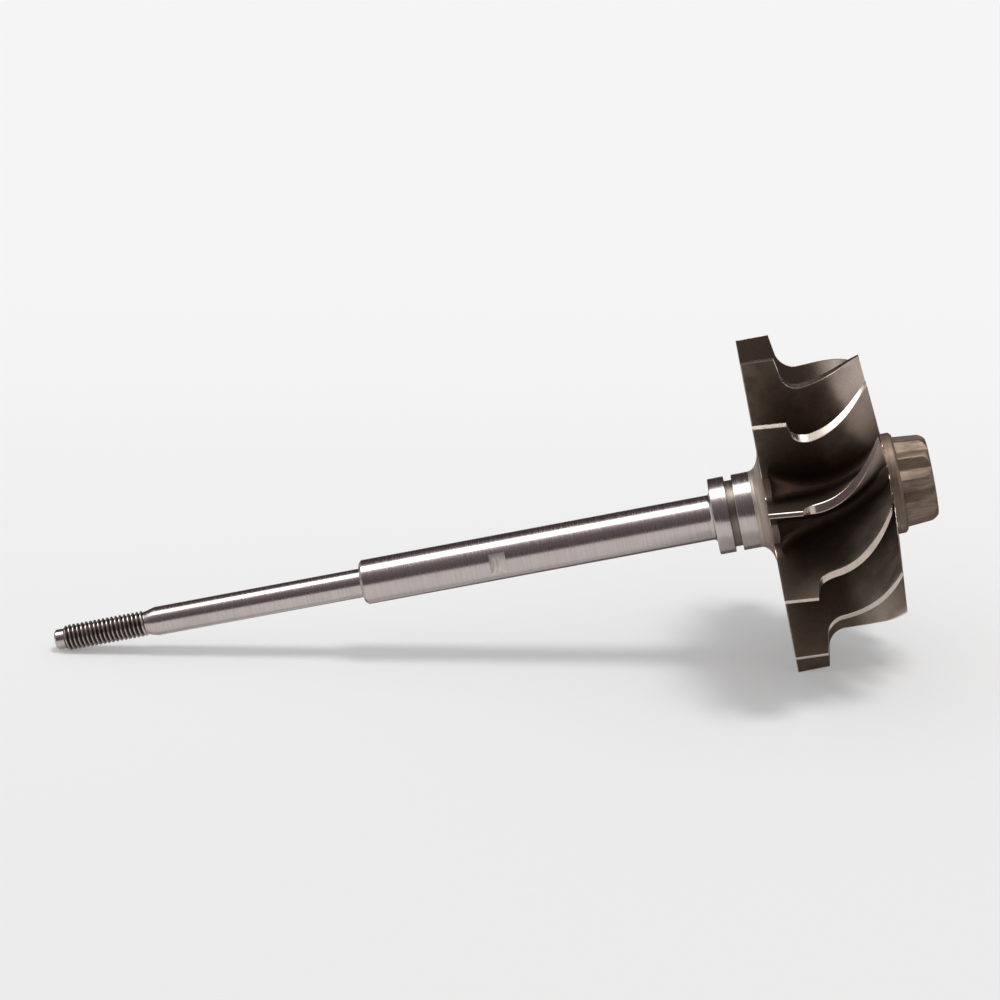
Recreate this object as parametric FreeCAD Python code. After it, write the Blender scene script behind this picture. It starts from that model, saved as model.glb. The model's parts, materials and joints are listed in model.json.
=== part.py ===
import FreeCAD, Part
import math
import os

# Turbine rotor of an exhaust-driven charger: a cast wheel with twelve blades, welded to a turned steel shaft.
# It lies as it comes to rest on a table: on the back corners of two blade tips and on the end of its thread.
# Both pieces are drawn round the X axis. Stations are measured along it from the back of the wheel, where
# x is 0, and grow towards the nose. Angles run round the axis from the -Y side and grow towards -Z.
# All lengths are in millimetres.

# Wheel: blades
blade_count = 12
tip_radius = 38.0              # where the gas enters
tip_width = 7.3                # axial length of the entry edge
exit_radius = 30.0             # outer edge of the blades where the gas leaves
exit_station = 26.1            # station of the outer end of the exit edge
throat_radius = 4.2            # arc between the entry edge and the long outer edge
shoulder_lean = 1.3            # how far the edge under the tip leans forwards before that arc
entry_skew = 1.05              # degrees that a tip turns over its own width
wrap_angle = 22.4              # degrees that a blade has turned when it reaches its exit edge
turn_start = 8.0               # station where the turning begins
turn_power = 2.4               # how late the turning comes
root_lean = 6.0                # degrees by which the exit edge runs ahead at its root
body_thickness = 2.0           # at the outer edge, before the blade turns
exit_thickness = 0.7           # at the outer end of the exit edge
entry_taper = 0.125            # thickness gained for each mm towards the axis, at the entry
exit_taper = 0.065             # the same at the exit

# Wheel: hub, web and nose
hub_radius = 11.4              # at the exit edge
hub_length = 27.7              # station where the gas path leaves the hub
rim_radius = 21.0              # where the hub's curve meets the web
web_thickness = 1.35
scallop_floor = 19.5           # smallest radius of the web, midway between two blades
scallop_radius = 7.9           # of each round bite out of the web
flare_radius = 13.2            # foot of the flare behind the wheel
weld_station = -2.8            # joint face between wheel and shaft
collar_radius = 11.4
collar_length = 2.4
collar_break = 0.6             # broken front edge of the collar
nose_length = 7.2
nose_point_radius = 10.3       # over the points of the twelve-point drive, at the collar
nose_draft = 5.0               # degrees by which the nose narrows, so that it leaves its mould
nose_phase = 12.2              # angle of one of its points
nose_rounding = 3.4            # radius of the arc that rounds the points off towards the end face
nose_rounding_angle = 52.0     # degrees from the axis at which that arc meets the end face

# How finely the curves of the casting are stepped
throat_steps = 3
turn_steps = 7
flank_steps = 6
flare_steps = 3
fillet_steps = 2
rounding_steps = 2
turn_crowding = 1.3            # over 1, so that the steps of the turn are shorter where it is sharper
slope_step = 0.1               # half of the stretch over which a blade's slope is taken
root_sink = 2.0                # how far the blades run into the hub before they are joined
nose_sink = 1.0                # how far the nose runs into the collar
cutter_room = 1.0              # how far a cutter stands clear of the work
flush = 0.001                  # a corner nearer than this to the back plane lies in it

# Shaft
land_radius = 8.65             # the two lands beside the ring groove
front_land = 3.65              # between the journal and the groove
rear_land = 3.9                # between the groove and the weld
groove_width = 1.75
groove_radius = 7.5
journal_radius = 5.1
journal_start = -93.2          # station of the shoulder for the thrust parts
journal_fillet = 0.9
journal_chamfer = 0.6
flat_station = -61.55          # speed-sensing flat
flat_width = 3.75
flat_depth = 0.64
seat_radius = 3.3              # long seat of the compressor wheel
seat_start = -141.7
relief_radius = 2.65           # foot of the cone between the thread and the seat
relief_length = 2.4
thread_radius = 2.95           # over the crests of an M6 thread
thread_length = 19.2
thread_chamfer = 0.55
pilot_radius = 2.3             # plain end past the thread
pilot_length = 2.2

pitch_angle = 360.0 / blade_count
exit_turn = wrap_angle + entry_skew * exit_station / tip_width
nose_station = hub_length + collar_length
groove_end = weld_station - rear_land
groove_start = groove_end - groove_width
land_start = groove_start - front_land
root_depth = hub_radius - root_sink
thread_end = seat_start - relief_length
thread_start = thread_end - thread_length
pilot_end = thread_start - pilot_length


def at(station, radius, angle):
    """Point at a station, a radius and an angle in degrees round the X axis."""
    turn = math.radians(angle)
    return FreeCAD.Vector(station, -radius * math.cos(turn), -radius * math.sin(turn))


def flat_point(station, radius):
    """Point of a profile, drawn above the axis in the XZ plane."""
    return FreeCAD.Vector(station, 0, radius)


def turned(points):
    """Solid turned round the X axis from a profile given as (station, radius) pairs."""
    corners = [flat_point(station, radius) for station, radius in points]
    outline = Part.makePolygon(corners + [corners[0]])
    return Part.Face(outline).revolve(FreeCAD.Vector(), FreeCAD.Vector(1, 0, 0), 360)


def turned_by(shape, angle):
    """Copy of a shape, turned round the X axis by an angle in degrees."""
    copy = shape.copy()
    copy.rotate(FreeCAD.Vector(), FreeCAD.Vector(1, 0, 0), angle)
    return copy


def turning(station):
    """Share of the blade's turning done at a station, 0 before the turn and 1 at the exit edge."""
    share = max(0.0, station - turn_start) / (exit_station - turn_start)
    return share ** turn_power


def blade_angle(station, radius):
    """Angle of the blade's middle surface, counted from its back corner."""
    drift = entry_skew * station / tip_width
    span = (exit_radius - radius) / (exit_radius - hub_radius)
    lean = root_lean * turning(station) * min(1.0, max(0.0, span))
    return drift - exit_turn * turning(station) - lean


def blade_half_width(station, radius):
    """Half of the blade's width along the circle at this radius."""
    share = min(1.0, turning(station))
    thickness = body_thickness - (body_thickness - exit_thickness) * share
    taper = entry_taper - (entry_taper - exit_taper) * share
    thickness += taper * (exit_radius - radius)
    turned_ahead = blade_angle(station + slope_step, radius) - blade_angle(station - slope_step, radius)
    slope = math.radians(turned_ahead) / (2 * slope_step)
    steepness = math.sqrt(1 + (slope * radius) ** 2)
    return 0.5 * thickness * steepness


def outer_edge():
    """(station, radius) points along the outer edge of a blade, from its back corner to its exit edge."""
    lean = math.atan2(shoulder_lean, tip_radius - exit_radius)
    tangent = throat_radius * math.tan((math.pi / 2 - lean) / 2)
    throat_station = tip_width + shoulder_lean + tangent
    points = [(0, tip_radius), (tip_width, tip_radius)]
    for step in range(throat_steps + 1):
        turn = math.pi + lean + (math.pi / 2 - lean) * step / throat_steps
        station = throat_station + throat_radius * math.cos(turn)
        points.append((station, exit_radius + throat_radius * (1 + math.sin(turn))))
    for step in range(1, turn_steps + 1):
        share = 1 - (1 - step / turn_steps) ** turn_crowding
        points.append((throat_station + (exit_station - throat_station) * share, exit_radius))
    return points


def blade_section(top_station, top):
    """Four corners across one blade, from inside the hub to its outer edge, slanted as its exit edge is."""
    slant = (hub_length - exit_station) / (exit_radius - hub_radius) * min(1.0, turning(top_station))
    root_station = top_station + slant * (top - root_depth)
    middle_top = at(top_station, top, blade_angle(top_station, top))
    middle_root = at(root_station, root_depth, blade_angle(root_station, root_depth))
    across = at(0, 1, blade_angle(top_station, top) + 90)
    top_half = across * blade_half_width(top_station, top)
    root_half = across * blade_half_width(root_station, root_depth)
    corners = [middle_root - root_half, middle_top - top_half, middle_top + top_half, middle_root + root_half]
    return Part.makePolygon(corners + [corners[0]])


def make_blade():
    """One blade, lofted along the axis from its back edge to its slanting exit edge."""
    return Part.makeLoft([blade_section(station, top) for station, top in outer_edge()], True, True)


def make_hub():
    """Hub from the weld face to the collar, with the flare behind and the web in front of it."""
    web_radius = (scallop_floor + tip_radius) / 2
    profile = [(weld_station, 0)]
    for step in range(flare_steps + 1):
        turn = math.pi / 2 * step / flare_steps
        station = weld_station * (1 - math.sin(turn))
        profile.append((station, flare_radius - (flare_radius - land_radius) * math.cos(turn)))
    profile += [(0, web_radius), (web_thickness, web_radius)]
    for step in range(flank_steps + 1):
        turn = math.pi / 2 * step / flank_steps
        station = hub_length - (hub_length - web_thickness) * math.cos(turn)
        profile.append((station, rim_radius - (rim_radius - hub_radius) * math.sin(turn)))
    profile += [
        (nose_station - collar_break, collar_radius),
        (nose_station, collar_radius - collar_break),
        (nose_station, 0),
    ]
    return turned(profile)


def scallop_bites():
    """Round bars, one midway between each two blades, that cut the scallops out of the web."""
    centre = scallop_floor + scallop_radius
    bar = Part.makeCylinder(scallop_radius, 2 * tip_width, at(-tip_width, centre, 0), FreeCAD.Vector(1, 0, 0))
    return [turned_by(bar, pitch_angle * index) for index in range(blade_count)]


def nose_radius(station):
    """Radius over the points of the nose, which narrows towards its end."""
    return nose_point_radius - (station - nose_station) * math.tan(math.radians(nose_draft))


def hexagon(station, angle):
    """Outline of one of the two hexagons that make a twelve-point star."""
    corners = [at(station, nose_radius(station), angle + 60 * index) for index in range(6)]
    return Part.makePolygon(corners + [corners[0]])


def nose_arc(end):
    """(station, radius) points of the arc that rounds the nose off, up to its end face."""
    first, last = math.radians(nose_draft), math.radians(nose_rounding_angle)
    arc_start = end - nose_rounding * (math.sin(last) - math.sin(first))
    points = []
    for step in range(rounding_steps + 1):
        turn = first + (last - first) * step / rounding_steps
        station = arc_start + nose_rounding * (math.sin(turn) - math.sin(first))
        points.append((station, nose_radius(arc_start) - nose_rounding * (math.cos(first) - math.cos(turn))))
    return points


def make_nose():
    """Twelve-point drive: two hexagonal bars turned by half a flat, with a rounded end."""
    start, end = nose_station - nose_sink, nose_station + nose_length
    bars = []
    for angle in (nose_phase, nose_phase + 30):
        bars.append(Part.makeLoft([hexagon(start, angle), hexagon(end, angle)], True, True))
    clear_radius = nose_radius(start) + cutter_room
    arc = nose_arc(end)
    blank = turned([(start, 0), (start, clear_radius), (arc[0][0], clear_radius), *arc, (end, 0)])
    return bars[0].fuse(bars[1]).common(blank)


def make_wheel():
    """The whole casting: hub, web, blades, collar and twelve-point nose."""
    hub = make_hub().cut(scallop_bites())
    blade = make_blade()
    blades = [turned_by(blade, pitch_angle * (index + 0.5)) for index in range(blade_count)]
    wheel = hub.multiFuse(blades + [make_nose()])
    return wheel.removeSplitter()


def make_shaft():
    """The turned shaft, from its pilot end to the weld."""
    profile = [
        (pilot_end, 0),
        (pilot_end, pilot_radius),
        (thread_start, pilot_radius),
        (thread_start + thread_chamfer, thread_radius),
        (thread_end - thread_chamfer, thread_radius),
        (thread_end, relief_radius),
        (seat_start, seat_radius),
        (journal_start, seat_radius),
        (journal_start, journal_radius - journal_chamfer),
        (journal_start + journal_chamfer, journal_radius),
        *fillet_points(),
        (land_start, land_radius),
        (groove_start, land_radius),
        (groove_start, groove_radius),
        (groove_end, groove_radius),
        (groove_end, land_radius),
        (weld_station, land_radius),
        (weld_station, 0),
    ]
    return turned(profile).cut(flat_cutter())


def fillet_points():
    """Round corner between the journal and the first land."""
    points = []
    for step in range(fillet_steps + 1):
        turn = math.pi / 2 * step / fillet_steps
        station = land_start - journal_fillet * (1 - math.sin(turn))
        points.append((station, journal_radius + journal_fillet * (1 - math.cos(turn))))
    return points


def flat_cutter():
    """Block that mills the speed-sensing flat on the side that faces -Y."""
    reach = journal_radius + cutter_room
    corner = FreeCAD.Vector(flat_station - flat_width / 2, -reach, -reach)
    return Part.makeBox(flat_width, reach - journal_radius + flat_depth, 2 * reach, corner)


def resting_tilt(wheel):
    """Degrees by which the nose rises, and the height of the axis over the back of the wheel."""
    low_corner = max(-vertex.Z for vertex in wheel.Vertexes if abs(vertex.X) < flush)
    reach = -(thread_start + thread_chamfer)
    tilt = math.atan2(low_corner - thread_radius, reach)
    return math.degrees(tilt), low_corner * math.cos(tilt)


def lay_down(shapes):
    """Tips the rotor over until two blade tips and the thread touch the table, and centres it."""
    tilt, height = resting_tilt(shapes[0])
    for shape in shapes:
        shape.rotate(FreeCAD.Vector(), FreeCAD.Vector(0, 1, 0), -tilt)
        shape.translate(FreeCAD.Vector(0, 0, height))
    boxes = [shape.optimalBoundingBox(False) for shape in shapes]
    middle_x = (min(box.XMin for box in boxes) + max(box.XMax for box in boxes)) / 2
    middle_y = (min(box.YMin for box in boxes) + max(box.YMax for box in boxes)) / 2
    for shape in shapes:
        shape.translate(FreeCAD.Vector(-middle_x, -middle_y, 0))
    print("tilt", round(tilt, 4), "axis height", round(height, 4))
    print("shift", round(middle_x, 4), round(middle_y, 4))


def span(box):
    """Lowest and highest X, Y and Z of a box, rounded for printing."""
    return [round(value, 3) for value in (box.XMin, box.XMax, box.YMin, box.YMax, box.ZMin, box.ZMax)]


nodes = {"turbine_wheel": make_wheel(), "rotor_shaft": make_shaft()}
lay_down(list(nodes.values()))
os.makedirs("parts", exist_ok=True)
for name, shape in nodes.items():
    shape.exportStep("parts/" + name + ".step")
    print(name, "solids", len(shape.Solids), "faces", len(shape.Faces), "volume", round(shape.Volume, 1))
    print("  valid", shape.isValid(), "spans", span(shape.optimalBoundingBox(False)))
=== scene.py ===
# %% [markdown]
# # A turbine wheel on its shaft
# This is the rotor of an exhaust-driven charger: a wheel cast in a nickel alloy, welded to a turned
# steel shaft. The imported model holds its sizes. This script loads that model as a fixed frame, and
# models each of the two pieces again with true curves, small round corners and a cut thread, and
# gives every surface its finish.

# %% Load the frame
import bpy
import json
import math
import numpy as np
from mathutils import Matrix, Vector


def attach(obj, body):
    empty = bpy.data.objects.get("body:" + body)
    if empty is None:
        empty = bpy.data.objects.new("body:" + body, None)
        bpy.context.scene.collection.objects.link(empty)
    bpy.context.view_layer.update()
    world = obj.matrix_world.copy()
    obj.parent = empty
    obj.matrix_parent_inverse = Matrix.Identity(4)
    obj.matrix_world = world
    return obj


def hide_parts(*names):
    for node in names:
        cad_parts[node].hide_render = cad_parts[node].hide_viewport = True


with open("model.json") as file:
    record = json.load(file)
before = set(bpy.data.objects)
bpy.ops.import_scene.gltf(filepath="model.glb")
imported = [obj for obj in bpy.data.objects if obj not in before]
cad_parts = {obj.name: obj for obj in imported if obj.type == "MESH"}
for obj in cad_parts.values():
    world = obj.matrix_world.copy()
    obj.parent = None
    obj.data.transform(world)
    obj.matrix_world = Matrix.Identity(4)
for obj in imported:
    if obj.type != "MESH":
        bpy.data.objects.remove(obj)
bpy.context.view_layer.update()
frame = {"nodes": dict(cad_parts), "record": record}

print("nodes of the frame:", sorted(frame["nodes"]))

# %% [markdown]
# ## Where the axis lies
# The rotor rests on two blade tips and on its thread, so its axis leans. Drawing it leaning would
# make every size awkward. Each piece is therefore drawn round the X axis in millimetres, with the
# back of the wheel at 0, and is laid down at the end by one matrix. The record of the frame says
# where the nose ends and which way it points.

# %% Place of the axis
nose_end_station = 37.3        # millimetres from the back of the wheel to the end of the nose
mounts = {mount["name"]: mount for mount in frame["record"]["mounts"]}
axis = Vector(mounts["nose_end"]["axis"])
wheel_back = Vector(mounts["nose_end"]["pos_m"]) - axis * nose_end_station * 0.001
tilt = math.atan2(axis.z, axis.x)
lay_down = Matrix.Translation(wheel_back) @ Matrix.Rotation(-tilt, 4, "Y") @ Matrix.Scale(0.001, 4)
print("the axis leans by", round(math.degrees(tilt), 2), "degrees")

# %% [markdown]
# ## Tools used for both pieces
# A lathe part is a row of rings. One ring is extruded from the one before and scaled to its radius,
# which leaves a closed skin with quads all along. Cuts are made as in the workshop, by taking one
# closed body from another.


# %% Helpers for modelling
def start_clean():
    """Leaves edit mode and selects nothing, because operators act on all that is selected."""
    if bpy.context.object and bpy.context.object.mode != "OBJECT":
        bpy.ops.object.mode_set(mode="OBJECT")
    bpy.ops.object.select_all(action="DESELECT")


def make_active(piece):
    start_clean()
    piece.select_set(True)
    bpy.context.view_layer.objects.active = piece


def turn(name, profile, segments):
    """Body turned round X from (station, radius) pairs, extruded ring by ring."""
    start_clean()
    station, radius = profile[0]
    bpy.ops.mesh.primitive_circle_add(
        vertices=segments, radius=radius, fill_type="NGON",
        location=(station, 0, 0), rotation=(0, math.pi / 2, 0),
    )
    piece = bpy.context.object
    piece.name = name
    bpy.ops.object.transform_apply(location=True, rotation=True, scale=True)
    bpy.ops.object.mode_set(mode="EDIT")
    bpy.ops.mesh.select_all(action="SELECT")
    for (station, radius), (next_station, next_radius) in zip(profile, profile[1:]):
        bpy.ops.mesh.extrude_region_move(TRANSFORM_OT_translate={"value": (next_station - station, 0, 0)})
        growth = next_radius / radius
        bpy.ops.transform.resize(value=(1, growth, growth), center_override=(next_station, 0, 0))
    bpy.ops.mesh.select_all(action="SELECT")
    bpy.ops.mesh.normals_make_consistent(inside=False)
    bpy.ops.object.mode_set(mode="OBJECT")
    return piece


def combine(piece, other, how):
    """Adds, cuts or keeps the shared space of two closed bodies, and deletes the second."""
    make_active(piece)
    bpy.ops.object.modifier_add(type="BOOLEAN")
    cut = piece.modifiers[-1]
    cut.operation = how
    cut.solver = "MANIFOLD"
    cut.object = other
    bpy.ops.object.modifier_apply(modifier=cut.name)
    bpy.data.objects.remove(other)


def finish(piece, finishes, number):
    """Gives a piece its finishes and all its faces one of them. Combined bodies keep their numbers."""
    for material in finishes:
        piece.data.materials.append(material)
    for face in piece.data.polygons:
        face.material_index = number


def round_corner(station, radius, size, first, last, steps):
    """Points of an arc round (station, radius) between two angles, in degrees from the axis."""
    points = []
    for step in range(steps + 1):
        angle = math.radians(first + (last - first) * step / steps)
        points.append((station + size * math.cos(angle), radius + size * math.sin(angle)))
    return points


def settle(piece, angle):
    """Smooths a finished piece, lays it down in metres and gives it to the body of the frame."""
    make_active(piece)
    piece.data.transform(lay_down)
    bpy.ops.object.shade_smooth_by_angle(angle=math.radians(angle))
    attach(piece, "root")
    print(piece.name, "has", sum(len(face.vertices) - 2 for face in piece.data.polygons), "triangles")


print("a quarter circle of 1 mm in two steps:", round_corner(0, 0, 1, 90, 0, 2))


# %% [markdown]
# ## Sizes of the shaft
# These are the sizes of the real shaft in millimetres, as the frame has them. The stations run
# along the axis from the back of the wheel, and those of the shaft are negative.

# %% Shaft sizes
weld_station = -2.8
land_radius = 8.65
rear_land, groove_width, front_land = 3.9, 1.75, 3.65
groove_radius = 7.5
edge_break = 0.12              # broken edge that a file leaves on a sharp corner
land_break = 0.25
journal_radius, journal_start = 5.1, -93.2
journal_fillet, journal_chamfer = 0.9, 0.6
flat_station, flat_width, flat_depth = -61.55, 3.75, 0.64
seat_radius, seat_start = 3.3, -141.7
relief_radius, relief_length = 2.65, 2.4
thread_radius, thread_length, thread_chamfer = 2.95, 19.2, 0.55
thread_pitch, thread_floor = 1.0, 2.4
pilot_radius, pilot_length, pilot_chamfer = 2.3, 2.2, 0.4
groove_end = weld_station - rear_land
groove_start = groove_end - groove_width
land_start = groove_start - front_land
thread_end = seat_start - relief_length
thread_start = thread_end - thread_length
pilot_end = thread_start - pilot_length
print("the shaft is", round(weld_station - pilot_end, 2), "mm long")

# %% [markdown]
# ## The turned shaft
# On the bench this is one bar, turned between centres and then ground. The profile below lists its
# corners from the thin end to the weld. Round corners are arcs, so that light runs over them as a
# thin line.

# %% Turn the shaft
shaft_profile = [
    (pilot_end, pilot_radius - pilot_chamfer),
    (pilot_end + pilot_chamfer, pilot_radius),
    (thread_start, pilot_radius),
    (thread_start + thread_chamfer, thread_radius),
    (thread_end - thread_chamfer, thread_radius),
    (thread_end, relief_radius),
    (seat_start, seat_radius),
    (journal_start - 0.01, seat_radius),
    (journal_start, journal_radius - journal_chamfer),
    (journal_start + journal_chamfer, journal_radius),
    *round_corner(
        land_start - journal_fillet, journal_radius + journal_fillet, journal_fillet, 270, 360, 8
    ),
    (land_start + 0.005, land_radius - land_break),
    *round_corner(land_start + land_break, land_radius - land_break, land_break, 180, 90, 4)[1:],
    *round_corner(groove_start - edge_break, land_radius - edge_break, edge_break, 90, 0, 3),
    (groove_start + 0.005, groove_radius),
    (groove_end - 0.005, groove_radius),
    *round_corner(groove_end + edge_break, land_radius - edge_break, edge_break, 180, 90, 3),
    (weld_station, land_radius),
]
ground_steel = bpy.data.materials.new("ground steel")
cut_steel = bpy.data.materials.new("milled steel")
thread_steel = bpy.data.materials.new("thread steel")
shaft_finishes = (ground_steel, cut_steel, thread_steel)
shaft = turn("ground_shaft", shaft_profile, 128)
finish(shaft, shaft_finishes, 0)
for face in shaft.data.polygons:
    if groove_start - 0.01 < face.center.x < groove_end + 0.01:
        face.material_index = 1
print("the shaft has", len(shaft_profile), "rings")

# %% [markdown]
# ## The thread
# A thread is a groove that winds round the bar. Its cutter is a small wedge-shaped outline, swept
# along a helix by the Screw modifier, and then taken away from the bar, just as a lathe tool leaves
# it. It starts beyond the end of the bar's thread. At its other end the tool is drawn back over the
# last turns, so the groove fades out in the cone.

# %% Cut the thread
def thread_cutter():
    crest_width = 0.16
    clear = 0.05               # how far the cutter stands out past the crests
    floor_corner = 0.03        # how much higher the floor of the groove is at its corners
    lead_in_turns, fade_turns, fade_slope = 1.1, 1.5, 0.5
    steps_per_turn = 64
    flank_slope = math.tan(math.radians(30))
    top_half = (thread_pitch - crest_width) / 2
    outer_half = top_half + clear * flank_slope
    floor_half = top_half - (thread_radius - thread_floor) * flank_slope
    outline = [
        (-outer_half, thread_radius + clear),
        (-floor_half, thread_floor + floor_corner),
        (-floor_half / 2, thread_floor),
        (floor_half / 2, thread_floor),
        (floor_half, thread_floor + floor_corner),
        (outer_half, thread_radius + clear),
    ]
    start_clean()
    bpy.ops.mesh.primitive_circle_add(vertices=len(outline), radius=1, fill_type="NOTHING")
    cutter = bpy.context.object
    first = thread_start - lead_in_turns * thread_pitch
    last = thread_end + thread_pitch
    for vertex, (along, out) in zip(cutter.data.vertices, outline):
        vertex.co = (first + along, 0, out)
    bpy.ops.object.modifier_add(type="SCREW")
    screw = cutter.modifiers[-1]
    screw.axis = "X"
    screw.screw_offset = thread_pitch
    screw.iterations = round((last - first) / thread_pitch)
    screw.steps = screw.render_steps = steps_per_turn
    bpy.ops.object.modifier_apply(modifier=screw.name)
    for vertex in cutter.data.vertices:
        drawn_back = max(0.0, vertex.co.x - (last - fade_turns * thread_pitch)) * fade_slope
        growth = 1 + drawn_back / math.hypot(vertex.co.y, vertex.co.z)
        vertex.co.y *= growth
        vertex.co.z *= growth
    bpy.ops.object.mode_set(mode="EDIT")
    bpy.ops.mesh.select_all(action="SELECT")
    bpy.ops.mesh.fill_holes(sides=len(outline))
    bpy.ops.mesh.select_all(action="SELECT")
    bpy.ops.mesh.normals_make_consistent(inside=False)
    bpy.ops.object.mode_set(mode="OBJECT")
    return cutter


cutter = thread_cutter()
finish(cutter, shaft_finishes, 2)
combine(shaft, cutter, "DIFFERENCE")
print("thread cut, the shaft has", len(shaft.data.polygons), "faces")

# %% [markdown]
# ## The flat for the speed sensor
# Half-way along the journal a short flat is milled. A block is taken away from the bar on the side
# that faces -Y.

# %% Mill the flat
start_clean()
flat_level = journal_radius - flat_depth
block_size = 2 * journal_radius
bpy.ops.mesh.primitive_cube_add(size=1, location=(flat_station, -flat_level - block_size / 2, 0))
mill = bpy.context.object
mill.scale = (flat_width, block_size, 1.5 * block_size)
bpy.ops.object.transform_apply(location=True, rotation=True, scale=True)
finish(mill, shaft_finishes, 1)
combine(shaft, mill, "DIFFERENCE")
print("flat milled, the shaft has", len(shaft.data.polygons), "faces")

# %% [markdown]
# ## Sizes of the wheel
# The wheel's blades stand radially where the gas enters and turn back near the nose, where it
# leaves.

# %% Wheel sizes
blade_count = 12
tip_radius, tip_width = 38.0, 7.3
exit_radius, exit_station = 30.0, 26.1
throat_radius, shoulder_lean = 4.2, 1.3
entry_skew, wrap_angle = 1.05, 22.4
turn_start, turn_power, root_lean = 8.0, 2.4, 6.0
body_thickness, exit_thickness = 2.0, 0.7
entry_taper, exit_taper = 0.125, 0.065
hub_radius, hub_length, rim_radius = 11.4, 27.7, 21.0
web_thickness = 1.35
scallop_floor, scallop_radius = 19.5, 7.9
flare_radius, collar_length, collar_break = 13.2, 2.4, 0.6
nose_point_radius, nose_draft, nose_phase = 10.3, 5.0, 12.2
nose_rounding, nose_rounding_angle = 3.4, 52.0
root_fillet_entry, root_fillet_exit = 1.6, 1.1
exit_rounding, back_rounding = 0.25, 0.15
edge_chamfer = 0.13            # left where the lathe tool and the cast face meet
nose_edge = 0.28               # width of the softened edges of the nose
exit_turn = wrap_angle + entry_skew * exit_station / tip_width
nose_station = hub_length + collar_length
pitch_angle = 360 / blade_count
root_depth = hub_radius - 2.0
scallop_centre = scallop_floor + scallop_radius
print("the wheel is", 2 * tip_radius, "mm across its tips")

# %% [markdown]
# ## The hub
# The hub is turned in one go, with the flare behind the wheel, the thin web, the long hollow flank
# that bends the gas from inwards to along the axis, and the collar. Twelve round bars then bite the
# scallops out of the web, which saves weight where the spin would pull hardest.

# %% Turn the hub
def hub_profile():
    """Outline of the hub. It ends in a core that lies inside the nose, so that the two bodies join."""
    web_radius = scallop_centre
    profile = []
    for step in range(13):
        angle = math.pi / 2 * step / 12
        profile.append((
            weld_station * (1 - math.sin(angle)),
            flare_radius - (flare_radius - land_radius) * math.cos(angle),
        ))
    profile += [(0.001, web_radius), (web_thickness - 0.001, web_radius)]
    for step in range(41):
        angle = math.pi / 2 * step / 40
        profile.append((
            hub_length - (hub_length - web_thickness) * math.cos(angle),
            rim_radius - (rim_radius - hub_radius) * math.sin(angle),
        ))
    profile += [
        (nose_station - collar_break - 0.1, hub_radius),
        (nose_station - collar_break + 0.05, hub_radius - 0.06),
        (nose_station - 0.06, hub_radius - collar_break + 0.05),
        (nose_station, hub_radius - collar_break - 0.1),
        (nose_station + 0.02, nose_point_radius - 0.9),
        (nose_station + 1.2, nose_point_radius - 2.0),
    ]
    return profile


cast_skin = bpy.data.materials.new("cast nickel alloy")
turned_edge = bpy.data.materials.new("turned nickel alloy")
drive_face = bpy.data.materials.new("machined nickel alloy")
wheel_finishes = (cast_skin, turned_edge, drive_face)
wheel = turn("cast_wheel", hub_profile(), 192)
finish(wheel, wheel_finishes, 0)
for face in wheel.data.polygons:
    out = math.hypot(face.center.y, face.center.z)
    if face.center.x > hub_length or (face.center.x < -0.01 and out < flare_radius):
        face.material_index = 2
for index in range(blade_count):
    start_clean()
    angle = math.radians(pitch_angle * index)
    bpy.ops.mesh.primitive_cylinder_add(
        vertices=96, radius=scallop_radius, depth=2 * tip_width, rotation=(0, math.pi / 2, 0),
        location=(0, -scallop_centre * math.cos(angle), -scallop_centre * math.sin(angle)),
    )
    bar = bpy.context.object
    bpy.ops.object.transform_apply(location=True, rotation=True, scale=True)
    finish(bar, wheel_finishes, 2)
    combine(wheel, bar, "DIFFERENCE")
print("hub turned and scalloped:", len(wheel.data.polygons), "faces")


# %% [markdown]
# ## One blade
# A blade is a thin wall between two curved faces. It starts as a flat slab of small cells, and
# every corner of the slab is then sent to its place: across the slab runs from the outer edge to
# the root, along it runs from the back edge to the exit edge. Near the hub the wall grows wider by
# a quarter circle, which is the fillet of the casting.

# %% Shape of a blade
def at(station, radius, angle):
    """Point at a station, a radius and an angle in degrees, counted from -Y towards -Z."""
    turned = math.radians(angle)
    return np.array([station, -radius * math.cos(turned), -radius * math.sin(turned)])


def turning(station):
    """Share of the blade's turning done at a station, 0 before the turn and 1 at the exit edge."""
    return (max(0.0, station - turn_start) / (exit_station - turn_start)) ** turn_power


def blade_angle(station, radius):
    """Angle of the blade's middle surface, counted from its back corner."""
    span = min(1.0, max(0.0, (exit_radius - radius) / (exit_radius - hub_radius)))
    return entry_skew * station / tip_width - (exit_turn + root_lean * span) * turning(station)


def blade_half_width(station, radius):
    """Half of the blade's width along the circle at this radius."""
    share = min(1.0, turning(station))
    thickness = body_thickness - (body_thickness - exit_thickness) * share
    thickness += (entry_taper - (entry_taper - exit_taper) * share) * (exit_radius - radius)
    step = 0.1
    turned = blade_angle(station + step, radius) - blade_angle(station - step, radius)
    slope = math.radians(turned) / (2 * step)
    return 0.5 * thickness * math.sqrt(1 + (slope * radius) ** 2)


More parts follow.
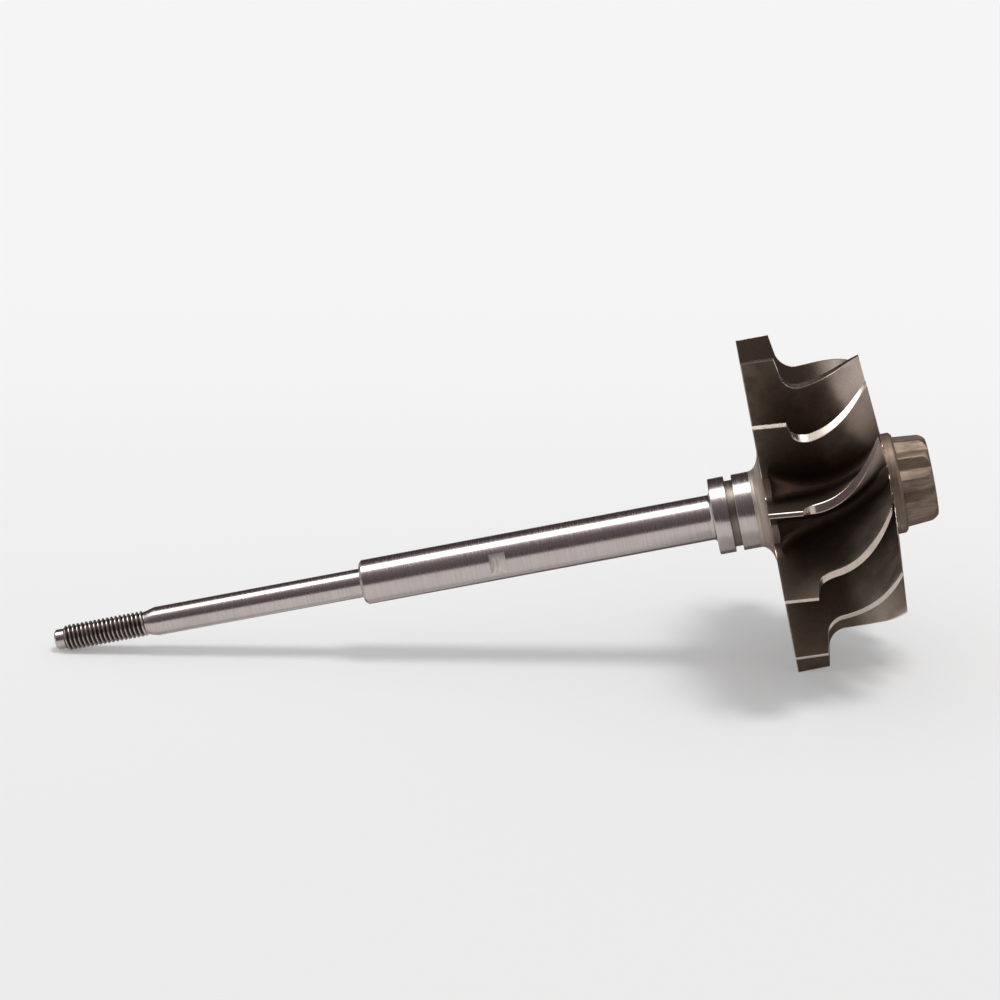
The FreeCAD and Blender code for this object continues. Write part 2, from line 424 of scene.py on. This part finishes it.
def outer_edge():
    """(station, radius) points along the outer edge of a blade, from its back corner to its exit edge."""
    lean = math.atan2(shoulder_lean, tip_radius - exit_radius)
    tangent = throat_radius * math.tan((math.pi / 2 - lean) / 2)
    throat_station = tip_width + shoulder_lean + tangent
    arc = round_corner(
        throat_station, exit_radius + throat_radius, throat_radius, 180 + math.degrees(lean), 270, 12
    )
    near_web = [web_thickness * share for share in (0.4, 0.8, 1.0, 1.12, 1.25, 1.5, 1.8, 2.2)]
    stations = [0.01, 0.06, 0.16] + near_web + list(np.linspace(3.6, tip_width, 6))
    entry = [(station, tip_radius) for station in stations]
    shoulder = []
    for share in (0.25, 0.5, 0.75):
        shoulder.append((
            tip_width + (arc[0][0] - tip_width) * share,
            tip_radius + (arc[0][1] - tip_radius) * share,
        ))
    level = []
    for share in np.linspace(0, 1, 27)[1:-1]:
        run = exit_station - exit_rounding - throat_station
        level.append((throat_station + run * share ** 0.85, exit_radius))
    rounding = [(exit_station - back, exit_radius) for back in (exit_rounding, 0.16, 0.08, 0.03, 0.0)]
    return entry + shoulder + arc + level + rounding


print("points along the outer edge:", len(outer_edge()))

# %% [markdown]
# ## The fillet between blade and hub
# A casting has no sharp inner corners, so each blade meets the hub in a round fillet. To draw it,
# the script must know how far a point lies above the hub. The hub's outline is a row of short
# lines, and the scallops are round holes, so both distances are easy. A row of the fillet is then
# the place where a point that stands off the blade by one leg of a quarter circle lies above the
# hub by its other leg.

# %% Height over the hub
web_end = 24.5                 # radius past which nothing is left of the web but what the blades hide
hub_corners = np.array([(web_thickness, web_end)] + [
    corner for corner in hub_profile() if corner[0] > web_thickness - 0.01 and corner[1] < web_end
])


def height_over_hub(points, side):
    """Distances of points from the scalloped hub, less than 0 inside it."""
    place = np.stack([points[:, 0], np.hypot(points[:, 1], points[:, 2])], 1)
    starts, runs = hub_corners[:-1], np.diff(hub_corners, axis=0)
    shares = ((place[:, None] - starts) * runs).sum(2) / (runs ** 2).sum(1)
    nearest = starts + runs * np.clip(shares, 0, 1)[..., None]
    distance = np.min(np.linalg.norm(place[:, None] - nearest, axis=2), axis=1)
    skin = np.interp(place[:, 0], hub_corners[1:, 0], hub_corners[1:, 1])
    skin = np.where(place[:, 0] < web_thickness, web_end, skin)
    from_turned = np.where(place[:, 1] > skin, distance, -distance)
    bar = at(0, scallop_centre, side * pitch_angle / 2)
    from_bar = scallop_radius - np.hypot(points[:, 1] - bar[1], points[:, 2] - bar[2])
    return np.maximum(from_turned, from_bar)


print("corners of the hub's outline:", len(hub_corners))

# %% [markdown]
# ## A line down the blade
# Both faces of the blade are made of such lines. Each starts at the chamfer of the outer edge, runs
# straight towards the axis, bends out along the fillet and ends just inside the hub, so that the
# two bodies share some space.

# %% One line down the blade
blade_rows, fillet_rows = 15, 8


def fillet_legs(size):
    """(off the blade, over the hub) for each row of the fillet, and two rows that end inside the hub."""
    last_angle, sunk = math.radians(76), 0.12
    legs = []
    for turned in np.linspace(0, last_angle, fillet_rows):
        legs.append((size * (1 - math.cos(turned)), size * (1 - math.sin(turned))))
    run = (legs[-1][1] + sunk) / math.cos(last_angle)
    return legs + [(legs[-1][0] + run * math.sin(last_angle), -sunk), (0.6 * size, -0.7)]


def blade_line(station, top, side):
    """Points down one face of the blade, from its outer edge to just inside the hub."""
    share = min(1.0, turning(station))
    slant = (hub_length - exit_station) / (exit_radius - hub_radius) * share
    root_station = station + slant * (top - root_depth)
    across = side * at(0, 1, blade_angle(station, top) + 90)
    edge = min(exit_station - station, station - 0.01)
    rounding = exit_rounding if station > turn_start else back_rounding
    lost = rounding - math.sqrt(max(0.0, rounding ** 2 - max(0.0, rounding - edge) ** 2))
    upper = at(station, top, blade_angle(station, top)) + across * (blade_half_width(station, top) - lost)
    lower = at(root_station, root_depth, blade_angle(root_station, root_depth))
    lower = lower + across * (blade_half_width(root_station, root_depth) - lost)
    shares = np.linspace(0, 1, 241)[:, None]
    face = upper + (lower - upper) * shares
    size = root_fillet_entry + (root_fillet_exit - root_fillet_entry) * share
    fillet, fillet_starts = [], None
    for off, over in fillet_legs(size):
        heights = np.minimum.accumulate(height_over_hub(face + across * off, side))
        place = float(np.interp(-over, -heights, shares[:, 0]))
        fillet_starts = place if fillet_starts is None else fillet_starts
        fillet.append(upper + (lower - upper) * place + across * off)
    edge_share = edge_chamfer / np.linalg.norm(lower - upper)
    steps = [edge_share] + list(np.linspace(edge_share, fillet_starts, blade_rows + 1)[1:-1])
    return [upper - across * edge_chamfer] + [upper + (lower - upper) * step for step in steps] + fillet


print("points down one face:", len(blade_line(exit_station / 2, exit_radius, 1)))

# %% [markdown]
# ## The slab
# The slab is a grid that is extruded once, so each of its corners has a column along the blade, a
# row down it and a side. The outer edge and the two end edges get the finish of a dressed edge, and
# the rest keeps its cast skin.

# %% Slab with its corners sent to the blade
back_columns, exit_columns = 3, 4      # columns that lie in the roundings of the two end edges


def make_blade():
    """Slab of cells, each corner sent to its place on the blade."""
    edge = outer_edge()
    faces = {side: [blade_line(station, top, side) for station, top in edge] for side in (1, -1)}
    cells_along, cells_down = len(edge) - 1, len(faces[1][0]) - 1
    start_clean()
    bpy.ops.mesh.primitive_grid_add(x_subdivisions=cells_along, y_subdivisions=cells_down, size=2)
    blade = bpy.context.object
    bpy.ops.object.mode_set(mode="EDIT")
    bpy.ops.mesh.select_all(action="SELECT")
    bpy.ops.mesh.extrude_region_move(TRANSFORM_OT_translate={"value": (0, 0, 1)})
    bpy.ops.object.mode_set(mode="OBJECT")
    finish(blade, wheel_finishes, 0)
    mesh = blade.data
    places = []
    for vertex in mesh.vertices:
        column = round((vertex.co.x + 1) / 2 * cells_along)
        row = round((vertex.co.y + 1) / 2 * cells_down)
        places.append((column, row, 1 if vertex.co.z > 0.5 else -1))
    for face in mesh.polygons:
        columns = {places[index][0] for index in face.vertices}
        rows = {places[index][1] for index in face.vertices}
        at_exit = min(columns) > cells_along - exit_columns
        at_back = max(columns) < back_columns and len(columns) > 1
        face.material_index = 1 if rows <= {0, 1} or at_exit or at_back else 0
    for vertex, (column, row, side) in zip(mesh.vertices, places):
        vertex.co = faces[side][column][row]
    bpy.ops.object.mode_set(mode="EDIT")
    bpy.ops.mesh.select_all(action="SELECT")
    bpy.ops.mesh.normals_make_consistent(inside=False)
    bpy.ops.object.mode_set(mode="OBJECT")
    return blade


blade = make_blade()
print("a blade has", len(blade.data.polygons), "faces")

# %% [markdown]
# ## Twelve blades
# The blade is copied twelve times, each copy with its own mesh and turned by a twelfth more, and
# all are joined to the hub. The first blade has then done its work and is deleted.

# %% Copy the blade round the hub
blade_places = [pitch_angle * (index + 0.5) for index in range(blade_count)]
for place in blade_places:
    copy = blade.copy()
    copy.data = blade.data.copy()
    bpy.context.scene.collection.objects.link(copy)
    copy.data.transform(Matrix.Rotation(math.radians(place), 4, "X"))
    combine(wheel, copy, "UNION")
bpy.data.objects.remove(blade)
print("wheel with blades:", len(wheel.data.polygons), "faces")

# %% [markdown]
# ## The twelve-point nose
# A spanner holds the rotor here while its nut is tightened. It starts as a ring of 24 corners, of
# which every second one is pulled in. It is extruded to its length, gets soft edges, and is rounded
# at its end by a turned blank.

# %% Nose
def nose_radius(station):
    """Radius of the nose over its points, which shrinks with the draft."""
    return nose_point_radius - (station - nose_station) * math.tan(math.radians(nose_draft))


def make_nose():
    start, end = nose_station - 0.5, nose_end_station + 0.5
    valley = math.cos(math.radians(30)) / math.cos(math.radians(15))
    start_clean()
    bpy.ops.mesh.primitive_circle_add(vertices=24, radius=1, fill_type="NGON")
    nose = bpy.context.object
    for index, vertex in enumerate(nose.data.vertices):
        radius = nose_radius(start) * (1 if index % 2 == 0 else valley)
        vertex.co = at(start, radius, nose_phase + 15 * index)
    bpy.ops.object.mode_set(mode="EDIT")
    bpy.ops.mesh.select_all(action="SELECT")
    bpy.ops.mesh.extrude_region_move(TRANSFORM_OT_translate={"value": (end - start, 0, 0)})
    growth = nose_radius(end) / nose_radius(start)
    bpy.ops.transform.resize(value=(1, growth, growth), center_override=(end, 0, 0))
    bpy.ops.mesh.select_all(action="SELECT")
    bpy.ops.mesh.normals_make_consistent(inside=False)
    bpy.ops.object.mode_set(mode="OBJECT")
    bpy.ops.object.modifier_add(type="BEVEL")
    bevel = nose.modifiers[-1]
    bevel.width = nose_edge
    bevel.segments = 3
    bevel.limit_method = "ANGLE"
    bevel.angle_limit = math.radians(25)
    bpy.ops.object.modifier_apply(modifier=bevel.name)
    blank = turn("blank", blank_profile(start), 96)
    finish(nose, wheel_finishes, 2)
    finish(blank, wheel_finishes, 2)
    combine(nose, blank, "INTERSECT")
    return nose


def blank_profile(start):
    """Outline of the turned blank, wide over the points and rounded at its end."""
    first, last = math.radians(nose_draft), math.radians(nose_rounding_angle)
    arc_start = nose_end_station - nose_rounding * (math.sin(last) - math.sin(first))
    wide = nose_point_radius + 1
    profile = [(start - 1, wide), (arc_start - 0.3, wide), (arc_start - 0.02, nose_radius(arc_start) + 0.2)]
    for turned in np.linspace(first, last, 9):
        station = arc_start + nose_rounding * (math.sin(turned) - math.sin(first))
        fall = nose_rounding * (math.cos(first) - math.cos(turned))
        profile.append((station, nose_radius(arc_start) - fall))
    profile[-1] = (nose_end_station, profile[-1][1] - 0.05)
    return profile


combine(wheel, make_nose(), "UNION")
print("wheel with nose:", len(wheel.data.polygons), "faces")

# %% [markdown]
# ## Both pieces at rest
# Shading is smooth where faces meet at a small angle and sharp at real edges. Then each piece is
# laid down and takes the place of the solid that the frame holds for it.

# %% Lay both pieces down
settle(shaft, 30)
settle(wheel, 32)
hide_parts("rotor_shaft")
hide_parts("turbine_wheel")

# %% [markdown]
# ## Colours and nodes
# Colours are written as they look on a screen, and one function turns them to the linear values
# that light adds up in. Another adds a node with its settings, values and links.


# %% Helpers for materials
mm = 0.001                     # materials work in metres


def linear(code):
    """sRGB hex value as linear red, green, blue and alpha."""
    values = [int(code[place:place + 2], 16) / 255 for place in (1, 3, 5)]
    values = [value / 12.92 if value <= 0.04045 else ((value + 0.055) / 1.055) ** 2.4 for value in values]
    return (*values, 1.0)


def add_node(tree, kind, values=None, links=None, **settings):
    """Adds a node, sets its settings and socket values, and links its inputs."""
    node = tree.nodes.new(kind)
    for name, value in settings.items():
        setattr(node, name, value)
    for socket, value in (values or {}).items():
        node.inputs[socket].default_value = value
    for socket, source in (links or {}).items():
        tree.links.new(source, node.inputs[socket])
    return node


def metal(material, metallic, roughness):
    """Starts a metal: clears its nodes and returns the tree, its shader and coordinates along the axis."""
    material.use_nodes = True
    tree = material.node_tree
    tree.nodes.clear()
    shader = add_node(tree, "ShaderNodeBsdfPrincipled", {"Metallic": metallic, "Roughness": roughness})
    add_node(tree, "ShaderNodeOutputMaterial", links={"Surface": shader.outputs["BSDF"]})
    place = add_node(tree, "ShaderNodeTexCoord")
    back = Matrix.Rotation(tilt, 3, "Y") @ wheel_back
    along = add_node(tree, "ShaderNodeMapping", {"Rotation": (0, tilt, 0), "Location": -back},
                     {"Vector": place.outputs["Object"]})
    return tree, shader, along.outputs["Vector"]


def per_mm(size):
    """Scale of a noise whose grains are this many millimetres wide, on coordinates in metres."""
    return 1000 / size


def noise(tree, place, size, detail=2.0):
    """Noise from 0 to 1 with grains of a size in millimetres."""
    return add_node(tree, "ShaderNodeTexNoise", {"Scale": per_mm(size), "Detail": detail},
                    {"Vector": place}).outputs["Fac"]


def spread(tree, value, low, high, to_low=0.0, to_high=1.0):
    """Stretches the part of a value between two limits over another range, with soft ends."""
    return add_node(tree, "ShaderNodeMapRange", {
        "From Min": low, "From Max": high, "To Min": to_low, "To Max": to_high,
    }, {"Value": value}, interpolation_type="SMOOTHSTEP").outputs["Result"]


def blend(tree, share, first, second):
    """Mixes two colours, each a hex value or a link, by a share."""
    values, links = {}, {"Factor": share}
    for socket, colour in ((6, first), (7, second)):
        if isinstance(colour, str):
            values[socket] = linear(colour)
        else:
            links[socket] = colour
    return add_node(tree, "ShaderNodeMix", values, links, data_type="RGBA").outputs[2]


def station_and_radius(tree, axis_place):
    """Two values in metres: how far along the axis a point lies, and how far from it."""
    parts = add_node(tree, "ShaderNodeSeparateXYZ", links={"Vector": axis_place})
    across = add_node(tree, "ShaderNodeVectorMath", {1: (0, 1, 1)}, {0: axis_place}, operation="MULTIPLY")
    radius = add_node(tree, "ShaderNodeVectorMath", links={0: across.outputs[0]}, operation="LENGTH")
    return parts.outputs["X"], radius.outputs["Value"]


def lathe_lines(tree, axis_place):
    """Coordinates for tool marks that run round the axis: station and radius, with a slow drift."""
    station, radius = station_and_radius(tree, axis_place)
    slow = (0, 0.02, 0.012)
    drift = add_node(tree, "ShaderNodeVectorMath", {1: slow}, {0: axis_place}, operation="DOT_PRODUCT")
    return add_node(tree, "ShaderNodeCombineXYZ", links={
        "X": station, "Y": radius, "Z": drift.outputs["Value"]}).outputs["Vector"]


def roughen(tree, shader, height, depth, strength=1.0):
    """Turns a height from 0 to 1 into bumps that are this many millimetres deep."""
    sizes = {"Strength": strength, "Distance": depth * mm}
    bump = add_node(tree, "ShaderNodeBump", sizes, {"Height": height})
    tree.links.new(bump.outputs["Normal"], shader.inputs["Normal"])


print("a grey of #808080 is", round(linear("#808080")[0], 3), "of the light")

# %% [markdown]
# ## Cast nickel alloy
# The wheel is an investment casting. Its ceramic mould leaves a fine even grain, and the heat of pouring
# leaves a brown skin of oxide on the metal, which is why it is not quite a mirror-bright metal. The skin is
# a darker umber towards the hub and a lighter one towards the tips. Towards the nose end of the blades a
# pale taupe is painted on: a painted sheen that stands in for the bright room those ends mirror. Three
# noises do this: one for the grain, one for stains of some millimetres, and one for the cloudy edge of the
# painted sheen. The real grain is about 0.1 mm, and here it is three times as coarse, so that it shows.

# %% Cast skin
tree, shader, axis_place = metal(cast_skin, 0.93, 0.46)
station, radius = station_and_radius(tree, axis_place)
cloud = noise(tree, axis_place, 9, 3)
stain = noise(tree, axis_place, 3.2, 5)
grain = noise(tree, axis_place, 0.3, 3)
outward = spread(tree, radius, 10 * mm, 29 * mm)
# Darker umber towards the hub, lighter towards the tips.
umber = blend(tree, outward, "#594c42", "#6d5f52")
stained = blend(tree, spread(tree, stain, 0.35, 0.7, 0.0, 0.5), umber, "#4b3c30")
# Painted sheen: pale taupe towards the nose end of the blades, standing in for the bright room those ends
# mirror.
ahead = add_node(tree, "ShaderNodeMath", {1: 12 * mm}, {0: cloud}, operation="MULTIPLY_ADD")
tree.links.new(station, ahead.inputs[2])
painted_sheen = add_node(tree, "ShaderNodeMath", operation="MULTIPLY", links={
    0: spread(tree, ahead.outputs[0], 18 * mm, 32 * mm), 1: spread(tree, radius, 12 * mm, 26 * mm)})
skin_colour = blend(tree, painted_sheen.outputs[0], stained, "#d2c3b4")
grainy = blend(tree, spread(tree, grain, 0.3, 0.75, 0.0, 0.22), skin_colour, "#2c231d")
tree.links.new(grainy, shader.inputs["Base Color"])
tree.links.new(spread(tree, stain, 0.3, 0.75, 0.40, 0.54), shader.inputs["Roughness"])
roughen(tree, shader, grain, 0.03, 0.5)
print("cast skin made")

# %% [markdown]
# ## Turned nickel alloy
# After casting, the blade tips and their long outer edges are turned to size on a lathe, and the
# back and exit edges are dressed smooth. That leaves bright narrow bands with fine lines along
# them, against the brown skin beside them. The lines are really about 0.1 mm apart, and are drawn
# twice as coarse, so that they show.

# %% Turned edges
tree, shader, axis_place = metal(turned_edge, 1.0, 0.3)
lines = noise(tree, lathe_lines(tree, axis_place), 0.22, 3)
wear = noise(tree, axis_place, 2.5, 4)
bright = blend(tree, spread(tree, lines, 0.3, 0.7, 0.0, 0.3), "#ccbfb3", "#a89a8e")
worn = blend(tree, spread(tree, wear, 0.5, 0.8, 0.0, 0.35), bright, "#8a7a6c")
tree.links.new(worn, shader.inputs["Base Color"])
tree.links.new(spread(tree, lines, 0.3, 0.7, 0.2, 0.27), shader.inputs["Roughness"])
roughen(tree, shader, lines, 0.003, 0.5)
print("turned edges made")

# %% [markdown]
# ## Machined nickel alloy
# The collar, the twelve-point nose and the flare behind the wheel are machined, and then go brown
# again in the heat of the weld and of use. So they are satin tan, with tool marks that show as fine
# lines. The marks run along the nose and round the rest. They are drawn at 0.3 mm, about twice as
# coarse as real ones. The walls of the scallops look the same.

# %% Nose, collar, flare and scallops
tree, shader, axis_place = metal(drive_face, 0.95, 0.46)
station, radius = station_and_radius(tree, axis_place)
drawn_out = (0.06, 1, 1)
drawn = add_node(tree, "ShaderNodeMapping", {"Scale": drawn_out}, {"Vector": axis_place})
along_lines = noise(tree, drawn.outputs["Vector"], 0.25, 3)
round_lines = noise(tree, lathe_lines(tree, axis_place), 0.3, 3)
on_nose = spread(tree, station, (nose_station - 0.1) * mm, (nose_station + 0.2) * mm)
marks = add_node(tree, "ShaderNodeMix", links={
    "Factor": on_nose, "A": round_lines, "B": along_lines}).outputs["Result"]
heat = noise(tree, axis_place, 4, 4)
tan = blend(tree, spread(tree, heat, 0.3, 0.7), "#8f7f6f", "#74655a")
behind = spread(tree, station, -0.5 * mm, 0.5 * mm, 1.0, 0.0)
tan = blend(tree, behind, tan, "#c4b9ac")
tan = blend(tree, spread(tree, marks, 0.35, 0.7, 0.0, 0.4), tan, "#53463c")
tree.links.new(tan, shader.inputs["Base Color"])
tree.links.new(spread(tree, marks, 0.3, 0.7, 0.48, 0.6), shader.inputs["Roughness"])
roughen(tree, shader, marks, 0.003, 0.5)
print("nose, collar and flare made")

# %% [markdown]
# ## Ground steel
# The shaft is hardened steel, ground between centres. The wheel of the grinder leaves rings so fine
# that the bar still shows clear bands of light and dark, only with soft edges. The rings are really
# some 0.01 mm apart. They are drawn at 0.2 mm, and only in how rough the steel is and how grey,
# with hardly any height.

# %% Ground steel
tree, shader, axis_place = metal(ground_steel, 1.0, 0.2)
rings = noise(tree, lathe_lines(tree, axis_place), 0.2, 3)
haze = noise(tree, axis_place, 14, 3)
steel = blend(tree, spread(tree, rings, 0.3, 0.7, 0.0, 0.35), "#c7bebb", "#a99f9d")
steel = blend(tree, spread(tree, haze, 0.4, 0.7, 0.0, 0.3), steel, "#b1a59c")
tree.links.new(steel, shader.inputs["Base Color"])
tree.links.new(spread(tree, rings, 0.3, 0.7, 0.2, 0.28), shader.inputs["Roughness"])
roughen(tree, shader, rings, 0.0015, 0.5)
print("ground steel made")

# %% [markdown]
# ## Milled steel
# The speed-sensing flat and the ring groove were cut, not ground, so they are duller than the rest of the
# shaft and spread the light evenly. The marks of the cutter lie some tenths of a millimetre apart. The
# groove is painted a darker brown, as painted shade for its narrow recess.

# %% Milled steel
tree, shader, axis_place = metal(cut_steel, 1.0, 0.42)
feed = noise(tree, lathe_lines(tree, axis_place), 0.35, 2)
station, radius = station_and_radius(tree, axis_place)
milled = blend(tree, spread(tree, feed, 0.3, 0.7), "#cfc8c1", "#b7afa8")
# Painted shade: this finish is painted a darker brown nearer the wheel than 20 mm, which is the ring
# groove.
milled = blend(tree, spread(tree, station, -30 * mm, -20 * mm), milled, "#857a72")
tree.links.new(milled, shader.inputs["Base Color"])
tree.links.new(spread(tree, feed, 0.3, 0.7, 0.36, 0.48), shader.inputs["Roughness"])
roughen(tree, shader, feed, 0.006, 0.6)
print("milled steel made")

# %% [markdown]
# ## Thread grooves
# The crests of the thread are part of the ground bar. Its grooves are cut. Their colour follows the radius:
# dark brown at the bottom and paler up to the crests, with a mottle of about 1.5 mm.

# %% Thread grooves
tree, shader, axis_place = metal(thread_steel, 0.9, 0.38)
station, radius = station_and_radius(tree, axis_place)
mottle = noise(tree, axis_place, 1.5, 4)
# Dark brown at the bottom of the grooves, paler up to the crests.
high_up = spread(tree, radius, (thread_floor + 0.1) * mm, thread_radius * mm)
groove_colour = blend(tree, spread(tree, mottle, 0.35, 0.7), "#3b2f27", "#4f4740")
groove_colour = blend(tree, high_up, groove_colour, "#aa9f97")
tree.links.new(groove_colour, shader.inputs["Base Color"])
tree.links.new(spread(tree, mottle, 0.3, 0.7, 0.30, 0.46), shader.inputs["Roughness"])
print("thread grooves made")

# %% [markdown]
# ## Floor
# The rotor lies on a matt white table. The table takes its shadow, and for the camera and for
# mirrors it also glows a little, darker in front and lighter behind, as a sheet of paper that
# curves up to a wall would look.

# %% Floor
glow_part = 0.3                # how much of what the camera sees of the table is glow
start_clean()
bpy.ops.mesh.primitive_plane_add(size=40)
floor = bpy.context.object
floor.name = "floor"
paper = bpy.data.materials.new("matt white table")
floor.data.materials.append(paper)


def seen_directly(tree):
    """1 for what is seen straight, in a mirror or through glass, 0 for light that falls on things."""
    path = add_node(tree, "ShaderNodeLightPath")
    seen = add_node(tree, "ShaderNodeMath", operation="MAXIMUM", links={
        0: path.outputs["Is Camera Ray"], 1: path.outputs["Is Glossy Ray"]})
    seen = add_node(tree, "ShaderNodeMath", operation="MAXIMUM", links={
        0: seen.outputs[0], 1: path.outputs["Is Transmission Ray"]})
    return seen.outputs[0]


paper.use_nodes = True
tree = paper.node_tree
tree.nodes.clear()
table = add_node(tree, "ShaderNodeBsdfDiffuse", {"Color": linear("#f6f5f5")})
place = add_node(tree, "ShaderNodeTexCoord")
depth = add_node(tree, "ShaderNodeSeparateXYZ", links={"Vector": place.outputs["Object"]})
front_edge, back_edge = -0.18, 0.4
tone = blend(tree, spread(tree, depth.outputs["Y"], front_edge, back_edge), "#dadada", "#fafafa")
glow = add_node(tree, "ShaderNodeEmission", {"Strength": 1.0}, {"Color": tone})
seen = seen_directly(tree)
glow_share = add_node(tree, "ShaderNodeMath", {1: glow_part}, {0: seen}, operation="MULTIPLY")
both = add_node(tree, "ShaderNodeMixShader", links={
    0: glow_share.outputs[0], 1: table.outputs["BSDF"], 2: glow.outputs["Emission"]})
add_node(tree, "ShaderNodeOutputMaterial", links={"Surface": both.outputs["Shader"]})
print("floor made")

# %% [markdown]
# ## Cards
# Polished bars get their black and white bands from what stands round them, not from the light that
# falls on them. Two dark cards, bent over the rotor, stand in for a dark room. A grey strip on the
# floor stands for the shade behind the rotor. Cards and strip are seen by reflections only, so they
# neither shade the table nor show in the picture.

# %% Cards
card_radius, card_length = 0.9, 3.0
strip_start, strip_half_width, strip_height = 0.007, 0.15, 0.0003


def card(name, tones):
    """Dark card that only reflections see, painted with (share of its height, colour) tones."""
    start_clean()
    bpy.ops.mesh.primitive_grid_add(x_subdivisions=1, y_subdivisions=16, size=2)
    made = bpy.context.object
    made.name = name
    cloth = bpy.data.materials.new(name)
    cloth.use_nodes = True
    tree = cloth.node_tree
    tree.nodes.clear()
    place = add_node(tree, "ShaderNodeTexCoord")
    height = add_node(tree, "ShaderNodeSeparateXYZ", links={"Vector": place.outputs["Object"]})
    share = add_node(tree, "ShaderNodeMath", {1: card_radius}, {0: height.outputs["Z"]}, operation="DIVIDE")
    colours = add_node(tree, "ShaderNodeValToRGB", links={"Fac": share.outputs[0]})
    ramp = colours.color_ramp
    while len(ramp.elements) < len(tones):
        ramp.elements.new(0.5)
    for element, (stop, colour) in zip(ramp.elements, tones):
        element.position = stop
        element.color = linear(colour)
    painted = add_node(tree, "ShaderNodeEmission", links={"Color": colours.outputs["Color"]})
    add_node(tree, "ShaderNodeOutputMaterial", links={"Surface": painted.outputs["Emission"]})
    made.data.materials.append(cloth)
    made.visible_camera = False
    made.visible_diffuse = False
    made.visible_shadow = False
    made.visible_transmission = False
    return made


def curve_card(made, first, last):
    """Bends a card over the rotor, from one angle over the horizon on the camera's side to another."""
    for vertex in made.data.vertices:
        angle = math.radians(first + (last - first) * (vertex.co.y + 1) / 2)
        along = vertex.co.x * card_length / 2
        vertex.co = (along, -card_radius * math.cos(angle), card_radius * math.sin(angle))


# The front card is painted lighter towards its top, as painted light from the soft box over it.
front_tones = [(0.07, "#4e4347"), (0.35, "#62575c"), (0.75, "#7a6f74"), (0.95, "#a3989b")]
curve_card(card("front_card", front_tones), 0.3, 72)
curve_card(card("back_card", [(0.0, "#42343a"), (0.9, "#4a3c42")]), 110, 178)
strip = card("floor_strip", [(0.0, "#6e6266")])
for vertex in strip.data.vertices:
    across = strip_start + strip_half_width * (vertex.co.y + 1)
    vertex.co = (vertex.co.x * card_length / 2, across, strip_height)
print("cards made")

# %% [markdown]
# ## Light
# A long soft box hangs over the rotor and gives the bars their white band. It lights only what
# mirrors it. A wide sun that leans a little to the right draws the soft shadow, and the room gives
# the rest of the light.

# %% Light
room_light, room_seen = 0.56, 0.92
lamp_data = bpy.data.lights.new("soft_box", "AREA")
lamp_data.shape = "RECTANGLE"
lamp_data.size, lamp_data.size_y = 1.4, 0.37
lamp_data.energy = 6.3
lamp = bpy.data.objects.new("soft_box", lamp_data)
bpy.context.scene.collection.objects.link(lamp)
lamp.location = (0, 0.005, 0.75)
lamp.visible_diffuse = False
lamp.visible_camera = False

sky_data = bpy.data.lights.new("sky_light", "SUN")
sky_data.energy = 1.35
sky_data.angle = math.radians(18)
sky = bpy.data.objects.new("sky_light", sky_data)
bpy.context.scene.collection.objects.link(sky)
sky.rotation_euler = (0, math.radians(12), 0)
sky.visible_glossy = False
sky.visible_camera = False

world = bpy.data.worlds.new("room")
bpy.context.scene.world = world
world.use_nodes = True
tree = world.node_tree
tree.nodes.clear()
seen = seen_directly(tree)
strength = add_node(tree, "ShaderNodeMix", {"A": room_light, "B": room_seen}, {"Factor": seen})
white = (1, 1, 1, 1)
light = add_node(tree, "ShaderNodeBackground", {"Color": white}, {"Strength": strength.outputs["Result"]})
add_node(tree, "ShaderNodeOutputWorld", links={"Surface": light.outputs["Background"]})
print("lamp and sun:", lamp_data.energy, sky_data.energy)

# %% [markdown]
# ## Camera
# The picture is taken with a long lens from a little above. The camera looks at a point beside the
# back of the wheel.

# %% Camera
view_azimuth, view_elevation = math.radians(1.753), math.radians(17.755)
view_distance = 0.64888
aim_right, aim_up = -0.05997, 0.00155
focal_length = 103.92
right = Vector((math.cos(view_azimuth), math.sin(view_azimuth), 0))
look = Vector((
    -math.sin(view_azimuth) * math.cos(view_elevation),
    math.cos(view_azimuth) * math.cos(view_elevation),
    -math.sin(view_elevation),
))
up = right.cross(look)
camera_data = bpy.data.cameras.new("camera")
camera_data.lens = focal_length
camera_data.sensor_width = 36
camera = bpy.data.objects.new("camera", camera_data)
bpy.context.scene.collection.objects.link(camera)
camera.matrix_world = Matrix.Translation(
    wheel_back + right * aim_right + up * aim_up - look * view_distance
) @ Matrix((right, up, -look)).transposed().to_4x4()
bpy.context.scene.camera = camera
bpy.context.scene.view_settings.view_transform = "Standard"
print("focal length", camera_data.lens, "mm, distance", view_distance, "m")
